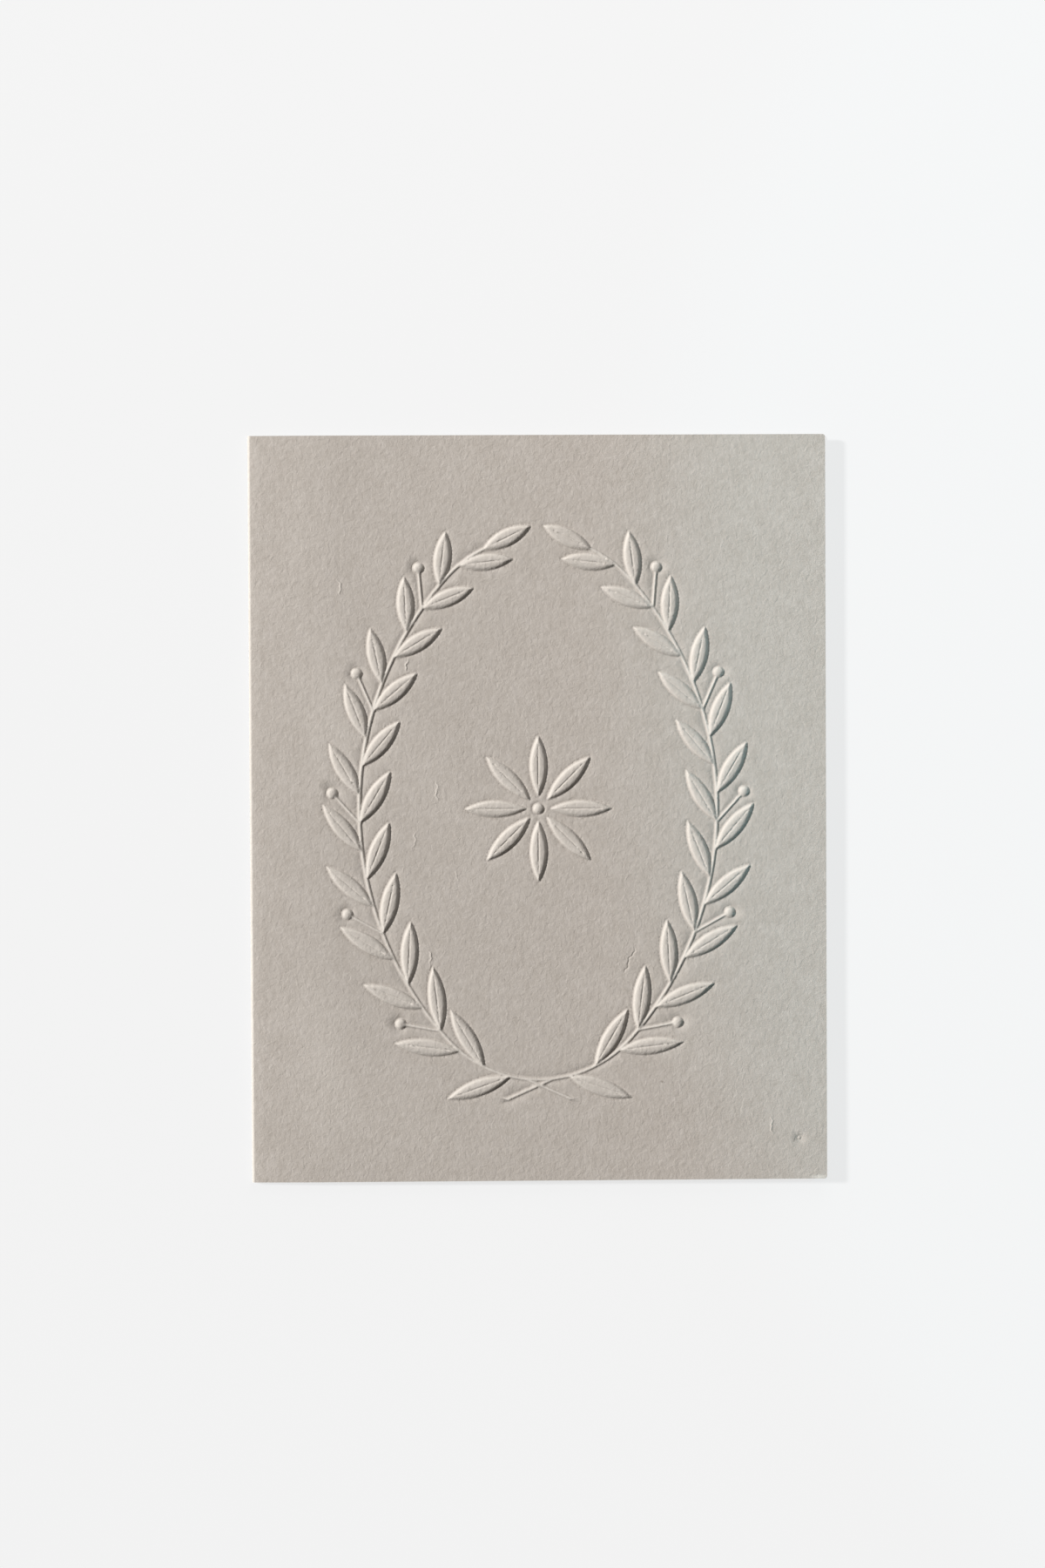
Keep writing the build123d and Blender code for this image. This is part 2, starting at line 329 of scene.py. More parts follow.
@dataclass(frozen=True)
class Leaf(Motif):
    """A pointed leaf or petal between two arcs, with a vein pressed along its crown.

    Its own frame starts at its foot and has the X axis along it.
    """

    x: float
    y: float
    heading: float  # of its own X axis, in degrees
    length: float
    width: float = 3.1
    vein_width: float = 0.36
    vein_depth: float = 0.15
    vein_margin: float = 1.5  # from each tip to the end of the vein
    vein_fade: tuple[float, float] = (-0.5, 0.9)  # distances in from there as it deepens
    insets: tuple[float, ...] = (  # of the rows of mesh points round it
        -0.6, -0.36, -0.27, -0.18, -0.09, 0, 0.06, 0.16, 0.3, 0.5, 0.76, 1.1,
    )
    step: float = 0.44  # between mesh points of a row
    sparse_beyond: float = -0.3  # inset outside which the points of a row stand wider
    sparse: float = 1.6  # by this
    vein_rows: tuple[float, ...] = (-0.55, -0.275, 0, 0.275, 0.55)  # in widths of the vein
    vein_row_depth: float = 1.0  # the depth that these rows count as, near the middle
    vein_row_ends: tuple[float, float] = (0.5, 0.4)  # from the foot and from the tip
    vein_row_least: float = 0.1  # the least depth that their points really have

    @property
    def radius(self) -> float:
        """Radius of the arcs of the outline."""
        half = self.width / 2
        return (self.length**2 / 4 + half**2) / (2 * half)

    @property
    def drop(self) -> float:
        """How far the centre of each arc lies beyond the leaf's middle line."""
        return self.radius - self.width / 2

    def local(self, points: np.ndarray) -> np.ndarray:
        """Carries points from the panel's frame to the leaf's own.

        Args:
            points: Places on the panel, one a row.

        Returns:
            Their places in the leaf's frame.
        """
        turn = math.radians(self.heading)
        dx, dy = points[:, 0] - self.x, points[:, 1] - self.y
        return np.column_stack(
            (dx * math.cos(turn) + dy * math.sin(turn), dy * math.cos(turn) - dx * math.sin(turn))
        )

    def on_panel(self, points: np.ndarray) -> np.ndarray:
        """Carries points from the leaf's own frame to the panel's.

        Args:
            points: Places in the leaf's frame, one a row.

        Returns:
            Their places on the panel.
        """
        turn = math.radians(self.heading)
        along, aside = points[:, 0], points[:, 1]
        return np.column_stack(
            (
                self.x + along * math.cos(turn) - aside * math.sin(turn),
                self.y + along * math.sin(turn) + aside * math.cos(turn),
            )
        )

    def depth(self, points: np.ndarray) -> np.ndarray:
        """How far in from the leaf's outline points lie.

        Args:
            points: Places on the panel, one a row.

        Returns:
            Their depths, which beyond a tip are distances from the tip.
        """
        at = self.local(points)
        inner = self.radius - np.hypot(at[:, 0] - self.length / 2, np.abs(at[:, 1]) + self.drop)
        beyond = np.maximum(-at[:, 0], at[:, 0] - self.length)
        tip = np.hypot(np.maximum(beyond, 0), at[:, 1])
        return np.where(beyond > 0, -tip, inner)

    def rise(self, points: np.ndarray) -> np.ndarray:
        """Height of the leaf, with its vein taken out.

        Args:
            points: Places on the panel, one a row.

        Returns:
            The height at each.
        """
        at = self.local(points)
        ends = np.minimum(at[:, 0], self.length - at[:, 0]) - self.vein_margin
        fade = smooth_step(*self.vein_fade, ends)
        across = np.clip(np.abs(at[:, 1]) / (self.vein_width / 2), 0, 1)
        vein = self.vein_depth * fade * np.cos(across * math.pi / 2) ** 2
        return np.maximum(PRESS.swell(self.depth(points)) - vein, 0)

    def rows(self) -> list[tuple[float, np.ndarray]]:
        """Rows of mesh points round the leaf at several insets, and along its vein.

        Returns:
            For each row, its depth and its points on the panel.
        """
        found = []
        for inset in self.insets:
            radius = self.radius - inset
            sweep = math.acos(min(1.0, self.drop / radius))
            if radius <= self.drop:
                continue
            step = self.step * (self.sparse if inset < self.sparse_beyond else 1.0)
            turns = np.linspace(-sweep, sweep, max(3, round(2 * radius * sweep / step) + 1))
            along = self.length / 2 + radius * np.sin(turns)
            aside = radius * np.cos(turns) - self.drop
            sides = np.vstack((np.column_stack((along, aside)), np.column_stack((along, -aside))))
            found.append((inset, self.on_panel(sides)))
        foot, tip = self.vein_row_ends
        run = np.arange(foot, self.length - tip, self.step)
        for side in self.vein_rows:
            line = self.on_panel(np.column_stack((run, np.full_like(run, side * self.vein_width))))
            line = line[self.depth(line) > self.vein_row_least]
            found.append((self.vein_row_depth, line))
        return found


@dataclass(frozen=True)
class Berry(Motif):
    """A small round berry or the eye of the daisy."""

    x: float
    y: float
    radius: float = 1.0
    relief: float = 0.45
    roundness: float = 2.6
    insets: tuple[float, ...] = (-0.36, -0.27, -0.18, -0.09, 0, 0.08, 0.22, 0.42, 0.7, 1.0)
    step: float = 0.32  # between mesh points of a ring

    def depth(self, points: np.ndarray) -> np.ndarray:
        """How far in from the berry's outline each point of the panel lies."""
        return self.radius - np.hypot(points[:, 0] - self.x, points[:, 1] - self.y)

    def rise(self, points: np.ndarray) -> np.ndarray:
        """Height of the berry at each point of the panel."""
        share = np.clip(1 - self.depth(points) / self.radius, 0, 1)
        return self.relief * (1 - share**self.roundness)

    def rows(self) -> list[tuple[float, np.ndarray]]:
        """Rings of mesh points round the berry, and its middle.

        Returns:
            For each ring, its depth and its points on the panel.
        """
        found = []
        for inset in self.insets:
            ring = self.radius - inset
            if ring <= 0:
                found.append((inset, np.array([[self.x, self.y]])))
                continue
            count = max(6, round(2 * math.pi * ring / self.step))
            turns = np.linspace(0, 2 * math.pi, count, False)
            circle = np.column_stack((self.x + ring * np.cos(turns), self.y + ring * np.sin(turns)))
            found.append((inset, circle))
        return found


@dataclass(frozen=True)
class Hairline(Motif):
    """A thin raised line of even width, along a path on the panel."""

    path: np.ndarray
    width: float = 0.6
    relief: float = 0.17
    roundness: float = 2.2
    insets: tuple[float, ...] = (-0.4, -0.18, 0, 0.12)
    search: float = 3.0  # distances from the path beyond this aren't told apart

    def nearest(self, points: np.ndarray) -> np.ndarray:
        """Distance of points from the path.

        Args:
            points: Places on the panel, one a row.

        Returns:
            The distances.
        """
        best = np.full(len(points), np.inf)
        for start, end in zip(self.path, self.path[1:]):
            span = end - start
            from_middle = np.abs(points - (start + end) / 2).max(axis=1)
            near = from_middle < self.search + np.abs(span).max() / 2
            off = points[near] - start
            share = np.clip(off @ span / (span @ span), 0, 1)
            gap = np.linalg.norm(off - share[:, None] * span, axis=1)
            best[near] = np.minimum(best[near], gap)
        return np.minimum(best, self.search)

    def depth(self, points: np.ndarray) -> np.ndarray:
        """How far in from the line's edge each point of the panel lies."""
        return self.width / 2 - self.nearest(points)

    def rise(self, points: np.ndarray) -> np.ndarray:
        """Height of the line at each point of the panel."""
        share = np.clip(1 - self.depth(points) / (self.width / 2), 0, 1)
        return self.relief * (1 - share**self.roundness)

    def rows(self) -> list[tuple[float, np.ndarray]]:
        """Rows of mesh points beside the line and along its crest.

        Returns:
            For each row, its depth and its points on the panel.
        """
        steps = np.diff(self.path, axis=0)
        normals = np.column_stack((-steps[:, 1], steps[:, 0]))
        normals /= np.linalg.norm(normals, axis=1)[:, None]
        normals = np.vstack((normals, normals[-1:]))
        found = []
        for inset in self.insets:
            for side in (-1, 1):
                found.append((inset, self.path + side * (self.width / 2 - inset) * normals))
        found.append((self.width / 2, self.path))
        return found


class Side(Enum):
    """Which branch of the garland a motif is on."""

    RIGHT = 1
    LEFT = -1


@dataclass(frozen=True)
class Garland:
    """The oval leaf garland: two mirrored branches of staggered leaves with berries.

    Its stem is an oval of four arcs, the tighter two at its head and its foot.
    """

    card_width: float
    card_height: float
    side_margin: float = 20.5
    head_margin: float = 19.0
    end_radius: float = 23.0
    foot_clearance: float = 5.5
    tail_length: float = 9.0
    tail_angle: float = 24.0  # slope of the crossed tails below the foot
    tail_overlap: float = 0.25  # share of a tail that lies on the other branch's side
    tail_points: int = 22
    stem_step: float = 0.45  # between mesh points
    leaf_pitch: float = 10.4
    leaf_length_foot: float = 12.6
    leaf_length_head: float = 9.8
    leaf_spread: float = 33.0  # between a leaf and the stem
    tip_clearance: float = 0.8
    stalk_length: float = 7.6
    stalk_width: float = 0.5
    stalk_angle: float = 40.0  # between a stalk and the stem
    stalk_points: int = 20

    @property
    def half_width(self) -> float:
        """Half of the oval's width."""
        return self.card_width / 2 - self.side_margin

    @property
    def half_height(self) -> float:
        """Half of the oval's height."""
        return self.card_height / 2 - self.head_margin

    @property
    def end_shift(self) -> float:
        """How far the centres of the oval's tighter arcs lie above and below its own."""
        return self.half_height - self.end_radius

    @property
    def side_shift(self) -> float:
        """How far the centres of the oval's flatter arcs lie beyond its own."""
        excess = self.half_width - self.end_radius
        return (self.end_shift**2 - excess**2) / (2 * excess)

    @property
    def side_radius(self) -> float:
        """Radius of the oval's flatter arcs."""
        return self.half_width + self.side_shift

    @property
    def join_angle(self) -> float:
        """Slope of the radius on which two of the oval's arcs meet, in degrees."""
        return math.degrees(math.atan2(self.end_shift, self.side_shift))

    @property
    def end_run(self) -> float:
        """Length of half of one of the tighter arcs."""
        return self.end_radius * math.radians(90 - self.join_angle)

    @property
    def branch_run(self) -> float:
        """Length of the oval from its foot to its head."""
        return 2 * self.end_run + self.side_radius * math.radians(2 * self.join_angle)

    def station(self, run: float) -> tuple[float, float, float]:
        """The stem's place and heading on the right-hand branch.

        Args:
            run: Distance along the stem from the foot.

        Returns:
            X, Y and the heading in degrees.
        """
        side_end = self.branch_run - self.end_run
        if run <= self.end_run:
            x, y, radius = 0.0, -self.end_shift, self.end_radius
            angle = -90 + math.degrees(run / radius)
        elif run <= side_end:
            x, y, radius = -self.side_shift, 0.0, self.side_radius
            angle = -self.join_angle + math.degrees((run - self.end_run) / radius)
        else:
            x, y, radius = 0.0, self.end_shift, self.end_radius
            angle = self.join_angle + math.degrees((run - side_end) / radius)
        turn = math.radians(angle)
        return x + radius * math.cos(turn), y + radius * math.sin(turn), angle + 90

    def outer_runs(self) -> list[float]:
        """Where the outer leaves grow.

        Returns:
            Their distances along the stem from the foot.
        """
        start = self.foot_clearance
        end = self.branch_run - self.leaf_length_head - self.tip_clearance
        count = max(2, round((end - start) / self.leaf_pitch))
        return [start + (end - start) * i / count for i in range(count + 1)]

    def leaf(self, run: float, lean: float, side: Side) -> Leaf:
        """One leaf of a branch.

        Args:
            run: Distance along the stem from the foot.
            lean: Angle from the stem, positive to its inner side.
            side: The branch that it is on.

        Returns:
            The leaf.
        """
        x, y, heading = self.station(run)
        share = run / self.branch_run
        length = self.leaf_length_foot + (self.leaf_length_head - self.leaf_length_foot) * share
        turned = heading + lean
        if side is Side.LEFT:
            x, turned = -x, 180 - turned
        return Leaf(x, y, turned, length)

    def berry(self, run: float, side: Side) -> list[Motif]:
        """One berry and its stalk.

        Args:
            run: Distance along the stem from the foot to the stalk.
            side: The branch that it is on.

        Returns:
            The stalk and the berry.
        """
        x, y, heading = self.station(run)
        turn = math.radians(heading - self.stalk_angle)
        foot = np.array([x, y])
        tip = foot + self.stalk_length * np.array([math.cos(turn), math.sin(turn)])
        path = np.linspace(foot, tip, self.stalk_points) * np.array([side.value, 1])
        return [Hairline(path, self.stalk_width), Berry(*path[-1])]

    def tail(self, side: Side) -> Hairline:
        """The end of a branch's stem, which crosses the other one below the foot.

        Args:
            side: The side that it points to.

        Returns:
            The tail.
        """
        turn = math.radians(self.tail_angle)
        overlap = self.tail_length * self.tail_overlap
        start = np.array([-side.value * overlap, -self.half_height])
        reach = self.tail_length * np.array([side.value * math.cos(turn), -math.sin(turn)])
        return Hairline(np.linspace(start, start + reach, self.tail_points))

    def motifs(self) -> list[Motif]:
        """Every raised shape of the garland.

        Returns:
            The stem, and on each side its tail, leaves and berries.
        """
        outer = self.outer_runs()
        middles = [(low + high) / 2 for low, high in zip(outer, outer[1:])]
        runs = np.arange(0, outer[-1], self.stem_step)
        right = np.array([self.station(run)[:2] for run in runs])
        stem = np.vstack((right[::-1] * np.array([-1, 1]), right[1:]))
        found: list[Motif] = [Hairline(stem)]
        for side in Side:
            found.append(self.tail(side))
            found += [self.leaf(run, -self.leaf_spread, side) for run in outer[:-1]]
            found += [self.leaf(run, self.leaf_spread, side) for run in middles]
            found.append(self.leaf(outer[-1], 0.0, side))
            for run in middles[1:-1:2]:
                found += self.berry(run, side)
        return found


@dataclass(frozen=True)
class Daisy:
    """The daisy in the middle: petals like the leaves, round a small eye."""

    petals: int = 8
    petal_length: float = 11.4
    petal_start: float = 2.3  # from the middle to the foot of a petal

    def motifs(self) -> list[Motif]:
        """Every raised shape of the daisy.

        Returns:
            Its eye and its petals.
        """
        found: list[Motif] = [Berry(0, 0)]
        for i in range(self.petals):
            heading = 90 + 360 * i / self.petals
            turn = math.radians(heading)
            x, y = self.petal_start * math.cos(turn), self.petal_start * math.sin(turn)
            found.append(Leaf(x, y, heading, self.petal_length))
        return found


@dataclass(frozen=True)
class Pucker:
    """A hairline crease in the stock, thrown up by the press: a wavy ridge a few mm long."""

    x: float
    y: float
    length: float
    lean: float  # from upright, clockwise, in degrees
    height: float = 0.1  # negative where the stock is pinched down
    width: float = 0.26
    sway: float = 0.2
    waves: tuple[float, float] = (2.1, 5.6)  # how fast it sways, in radians a millimetre
    quick_sway: float = 0.45  # share of the second wave
    step: float = 0.2  # between mesh points along it
    rows: tuple[float, ...] = (-0.4, -0.24, -0.13, -0.05, 0.05, 0.13, 0.24, 0.4)  # across it

    def wander(self, along: np.ndarray) -> np.ndarray:
        """How far aside of its straight line the crease runs.

        Args:
            along: Distances along the crease from its middle.

        Returns:
            The distance aside at each.
        """
        slow, quick = self.waves
        bends = np.sin(along * slow + self.x) + self.quick_sway * np.sin(along * quick + self.y)
        return self.sway * bends

    def local(self, points: np.ndarray) -> np.ndarray:
        """Carries points to the crease's own frame.

        Args:
            points: Places on the panel, one a row.

        Returns:
            Their distances across the crease and along it.
        """
        turn = math.radians(self.lean)
        dx, dy = points[:, 0] - self.x, points[:, 1] - self.y
        along = dx * math.sin(turn) + dy * math.cos(turn)
        across = dx * math.cos(turn) - dy * math.sin(turn)
        return np.column_stack((across - self.wander(along), along))

    def rise(self, points: np.ndarray) -> np.ndarray:
        """Height of the crease, which fades out towards its ends.

        Args:
            points: Places on the panel, one a row.

        Returns:
            The height at each.
        """
        at = self.local(points)
        ends = 1 - smooth_step(self.length / 4, self.length / 2, np.abs(at[:, 1]))
        return self.height * ends * np.exp(-((at[:, 0] / (self.width / 2)) ** 2))

    def points(self) -> np.ndarray:
        """The mesh points that the crease needs.

        Returns:
            Places on the panel, one a row.
        """
        turn = math.radians(self.lean)
        end = self.length / 2 + 0.01  # a little more, so that the last point isn't lost
        along = np.arange(-self.length / 2, end, self.step)
        found = []
        for across in self.rows:
            aside = across + self.wander(along)
            x = self.x + aside * math.cos(turn) + along * math.sin(turn)
            y = self.y - aside * math.sin(turn) + along * math.cos(turn)
            found.append(np.column_stack((x, y)))
        return np.vstack(found)


SPECK = Berry(48.8, -62.1, 0.24, 0.06)  # a grain of pulp that stands proud of the face
# The place, length, lean and height of each crease.
PUCKERS = (
    Pucker(-36.9, 41.5, 3.2, -8),
    Pucker(-24.4, 27.8, 6.4, 4, 0.15),
    Pucker(-19.0, 3.4, 4.2, -3, 0.09),
    Pucker(-20.3, -29.0, 6.8, -4, 0.12),
    Pucker(17.0, -28.5, 6.2, 24, -0.12),
    Pucker(43.6, -59.8, 4.0, -6),
    Pucker(-23.2, -5.8, 3.4, 8, 0.07),
    Pucker(-15.3, -12.5, 2.4, 2, 0.06),
)


@dataclass(frozen=True)
class CoverStock:
    """Heavy uncoated cover stock, dyed through and felt-marked on the paper machine.

    Pulp dyed before the sheet is formed has the same colour on its faces and its cut edges.
    The felts leave a fine, almost even tooth, which raking light picks out, and with no coating
    the surface is fully matt. Clumps of fibre take the dye unevenly, which gives a faint mottle.
    """

    face: str = "#BBB3AB"
    pale_fibre: str = "#C8C1B8"
    dark_fibre: str = "#A39A90"
    burnish_and_highlight: str = "#D6CFC6"  # painted highlight on the relief's steep sides, and the die's burnish, weaker, on its crowns
    rub_and_fold_highlight: str = "#DDD7CE"  # bare fibre at the rubbed corner, and painted highlight along the fold's crest
    grit: str = "#857C72"
    # Across, along and height. Real felt marks are finer, and are drawn as coarse as they need
    # to show.
    tooth: tuple[float, float, float] = (0.78, 0.98, 0.115)
    fibre: tuple[float, float, float] = (0.25, 0.35, 0.008)  # the same, for single fibres
    mottle: tuple[float, float] = (1.0, 1.5)  # across and along a clump of fibre
    clouds: tuple[float, float] = (3.6, 4.6)  # across and along a thicker patch of the sheet
    grit_at: tuple[float, float] = (23.0, -51.4)
    grit_size: tuple[float, float] = (0.22, 0.22)
    rub_at: tuple[float, float] = (52.5, -69.5)  # the foot's free corner
    rub_size: tuple[float, float] = (1.5, 0.36)
    roughness: float = 0.92
    ior: float = 1.5
    specular: float = 0.25  # loose fibre sends back less than a smooth face does

    def noise(
        self,
        tree: bpy.types.NodeTree,
        place: bpy.types.NodeSocket,
        across: float,
        along: float,
        detail: float,
        roughness: float = 0.5,
        distortion: float = 0.3,
    ) -> bpy.types.NodeSocket:
        """Adds a noise whose cells have a size in millimetres.

        Args:
            tree: The tree that the nodes join.
            place: Places on the card, in metres.
            across: A cell's width.
            along: A cell's height up the card.
            detail: Octaves of finer noise.
            roughness: How strong those are.
            distortion: How much the cells curl.

        Returns:
            The noise, about 0.5.
        """
        scale = (1 / (across * METRES), 1 / (along * METRES), 1 / (across * METRES))
        cells = add_node(tree, "ShaderNodeMapping", {}, {"Vector": place, "Scale": scale})
        made = add_node(
            tree,
            "ShaderNodeTexNoise",
            {},
            {
                "Vector": cells.outputs[0],
                "Scale": 1.0,
                "Detail": detail,
                "Roughness": roughness,
                "Distortion": distortion,
            },
        )
        return made.outputs["Fac"]

    def tint(
        self,
        tree: bpy.types.NodeTree,
        under: bpy.types.NodeSocket | str,
        over: str,
        value: bpy.types.NodeSocket,
        span: tuple[float, float],
        most: float,
    ) -> bpy.types.NodeSocket:
        """Lays a colour over another where a value is high.

        Args:
            tree: The tree that the nodes join.
            under: The colour below.
            over: The colour laid over it.
            value: What decides where.
            span: The values at which the upper colour starts and is at its most.
            most: The upper colour's largest share.

        Returns:
            The mixed colour.
        """
        share = add_node(
            tree,
            "ShaderNodeMapRange",
            {},
            {"Value": value, "From Min": span[0], "From Max": span[1], "To Max": most},
        )
        below = linear(under) if isinstance(under, str) else under
        mixed = add_node(
            tree,
            "ShaderNodeMix",
            {"data_type": "RGBA"},
            {0: share.outputs[0], 6: below, 7: linear(over)},
        )
        return mixed.outputs[2]

    def away(
        self,
        tree: bpy.types.NodeTree,
        place: bpy.types.NodeSocket,
        at: tuple[float, float],
        radii: tuple[float, float],
    ) -> bpy.types.NodeSocket:
        """Adds the distance from a mark on the card, seen from above.

        Args:
            tree: The tree that the nodes join.
            place: Places on the card, in metres.
            at: The mark's middle.
            radii: The mark's radii across and up the card.

        Returns:
            The distance, 1 at the mark's outline.
        """
        beside = add_node(
            tree,
            "ShaderNodeMapping",
            {"vector_type": "TEXTURE"},
            {
                "Vector": place,
                "Location": (at[0] * METRES, at[1] * METRES, 0.0),
                "Scale": (radii[0] * METRES, radii[1] * METRES, 1.0),
            },
        )
        length = add_node(
            tree, "ShaderNodeVectorMath", {"operation": "LENGTH"}, {0: beside.outputs[0]}
        )
        return length.outputs["Value"]

    def material(self) -> bpy.types.Material:
        """Makes the finish.

        Returns:
            The material, made of procedural nodes only.
        """
        made = bpy.data.materials.new("uncoated_cover_stock")
        made.use_nodes = True
        tree = made.node_tree
        tree.nodes.clear()
        place = add_node(tree, "ShaderNodeTexCoord").outputs["Object"]
        across, along, tooth_height = self.tooth
        tooth = self.noise(tree, place, across, along, 2.5, roughness=0.55, distortion=0.6)
        across, along, fibre_height = self.fibre
        fibres = self.noise(tree, place, across, along, 3.0, roughness=0.6)
        clouds = self.noise(tree, place, *self.clouds, 3.0)
        mottle = self.noise(tree, place, *self.mottle, 2.0, distortion=0.5)
        # masks of painted highlight: one on the relief's sides (with burnish on its crowns), one
        # along the fold's crest
        relief_burnish_and_highlight = add_node(tree, "ShaderNodeAttribute", {"attribute_name": "relief_burnish_and_highlight"})
        fold_highlight = add_node(tree, "ShaderNodeAttribute", {"attribute_name": "fold_highlight"})
        grit = self.away(tree, place, self.grit_at, self.grit_size)
        rub = self.away(tree, place, self.rub_at, self.rub_size)
        colour = self.face
        # Each colour laid over it, what decides where, the values at which it starts and is at
        # its most, and its largest share.
        for over, value, span, most in (
            (self.dark_fibre, clouds, (0.3, 0.7), 0.3),
            (self.dark_fibre, mottle, (0.25, 0.75), 0.5),
            (self.pale_fibre, fibres, (0.52, 0.78), 0.55),
            # painted highlight on the relief's steep sides; on its crowns, less of it, as the die's
            # burnish
            (self.burnish_and_highlight, relief_burnish_and_highlight.outputs["Fac"], (0.0, 1.0), 0.6),
            # painted highlight: white laid along the fold's crest
            (self.rub_and_fold_highlight, fold_highlight.outputs["Fac"], (0.0, 1.0), 1.0),
            # real wear: bare fibre at the foot's rubbed corner
            (self.rub_and_fold_highlight, rub, (1.4, 0.4), 0.6),
            (self.grit, grit, (1.4, 0.6), 0.7),
        ):
            colour = self.tint(tree, colour, over, value, span, most)
        normal = None
        for height, depth in ((tooth, tooth_height), (fibres, fibre_height)):
            bump = {"Height": height, "Strength": 1.0, "Distance": depth * METRES}
            if normal:
                bump["Normal"] = normal
            normal = add_node(tree, "ShaderNodeBump", {}, bump).outputs[0]
        paper = {
            "Base Color": colour,
            "Roughness": self.roughness,
            "IOR": self.ior,
            "Specular IOR Level": self.specular,
            "Normal": normal,
        }
        shader = add_node(tree, "ShaderNodeBsdfPrincipled", {}, paper)
        add_node(tree, "ShaderNodeOutputMaterial", {}, {"Surface": shader.outputs[0]})
        return made


@dataclass
class GreetingCard:
    """The card: one folded sheet, embossed on its front leaf."""

    sheet: FoldedSheet
    stock: CoverStock = field(default_factory=CoverStock)
    front_pitch: float = 1.5  # of the mesh on the plain front
    back_pitch: float = 5.0
    row_share: float = 0.87  # rows this share of the pitch apart give even triangles
    front_gaps: tuple[float, float] = (0.5, 0.2)  # from the fold and the edge to that mesh
    back_gaps: tuple[float, float] = (1.0, 0.4)
    fold_lines: int = 16
    fold_rows: int = 61
    front_edge_points: int = 72  # along the head and the foot of the front leaf
    edge_gaps: tuple[float, float] = (2.0, 0.7)  # there, from the fold to the back and front
    free_edge_points: int = 94
    back_edge_share: int = 4  # the back leaf's free edge has one in this many of those
    corner_points: int = 3
    plain_from: float = -1.0  # depth outside which the front has the plain mesh
    own_margin: float = 0.02  # how much deeper a point lies in its own motif than in others
    crowding: float = 0.11  # mesh points closer than this become one
    weld: float = 1e-5
    wave: float = 0.05  # the front leaf isn't quite flat
    wave_length: float = 47.0
    wave_seed: float = 0.6
    belly: float = 0.055  # and it bulges beside the fold
    belly_at: float = 13.0
    belly_width: float = 8.0
    crease_clear: tuple[float, float] = (0.3, 1.5)  # from an outline, as the creases set in
    fold_highlight_most: float = 0.5  # how much painted highlight the fold's crest takes
    fold_highlight_span: tuple[float, float] = (0.22, 0.64)  # distances in at which that fades out
    relief_highlight_span: tuple[float, float] = (0.02, 0.16)  # heights over which the painted highlight and burnish set in
    crown_fade_span: tuple[float, float] = (0.28, 0.48)  # and over which part of it goes again
    crown_fade_share: float = 0.5

    def motifs(self) -> list[Motif]:
        """Everything that the die raised on the front."""
        return Garland(self.sheet.width, self.sheet.height).motifs() + Daisy().motifs() + [SPECK]

    def panel(self, sheet: np.ndarray) -> np.ndarray:
        """Carries places on the flat sheet to the front panel's frame."""
        return sheet - np.array([self.sheet.panel_middle, 0])

    def relief(self, sheet: np.ndarray, motifs: list[Motif]) -> np.ndarray:
        """Height of the outer face over the plain sheet.

        Args:
            sheet: Places on the flat sheet, one a row.
            motifs: What the die raised.

        Returns:
            The heights.
        """
        on_panel = self.panel(sheet)
        depth = np.full(len(sheet), OUTSIDE)
        rise = np.zeros(len(sheet))
        for motif in motifs:
            depth = np.maximum(depth, motif.depth(on_panel))
            rise = np.maximum(rise, motif.rise(on_panel))
        plain = smooth_step(*self.crease_clear, -depth)
        for pucker in PUCKERS:
            rise = rise + pucker.rise(on_panel) * plain
        away = smooth_step(self.sheet.fold_end, self.sheet.panel_start, sheet[:, 0])
        beside = (sheet[:, 0] - self.sheet.fold_end - self.belly_at) / self.belly_width
        bulge = self.belly * np.exp(-(beside**2))
        warp = self.wave * away * ripple(sheet, self.wave_length, self.wave_seed)
        return rise + PRESS.moat(depth) + warp + bulge

    def motif_points(self, motifs: list[Motif]) -> np.ndarray:
        """The mesh points that the embossing needs, with crowded ones taken out.

        Args:
            motifs: What the die raised.

        Returns:
            Places in the front panel's frame, one a row.
        """
        owners, depths, places = [], [], []
        for i, motif in enumerate(motifs):
            for depth, row in motif.rows():
                owners.append(np.full(len(row), i))
                depths.append(np.full(len(row), depth))
                places.append(row)
        owner, depth, place = np.concatenate(owners), np.concatenate(depths), np.vstack(places)
        rival = np.full(len(place), OUTSIDE)
        for i, motif in enumerate(motifs):
            others = owner != i
            rival[others] = np.maximum(rival[others], motif.depth(place[others]))
        kept = place[rival < depth - self.own_margin]
        cells = np.round(kept / self.crowding).astype(int)
        order = np.unique(cells, axis=0, return_index=True)[1]
        return kept[np.sort(order)]

    def lattice(self, low: float, high: float, pitch: float) -> np.ndarray:
        """Evenly spread mesh points on part of the flat sheet.

        Args:
            low: Run at which the part starts.
            high: Run at which it ends.
            pitch: Distance between neighbours.

        Returns:
            Places on the flat sheet, one a row.
        """
        half = self.sheet.height / 2
        columns = max(2, round((high - low) / pitch))
        rows = max(2, round(2 * half / (pitch * self.row_share)))
        run, up = np.meshgrid(
            np.linspace(low, high, columns + 1)[1:-1], np.linspace(-half, half, rows + 1)[1:-1]
        )
        stagger = np.where(np.arange(rows - 1) % 2, pitch / 4, -pitch / 4)
        run = run + stagger[:, None]
        return np.column_stack((run.ravel(), up.ravel()))

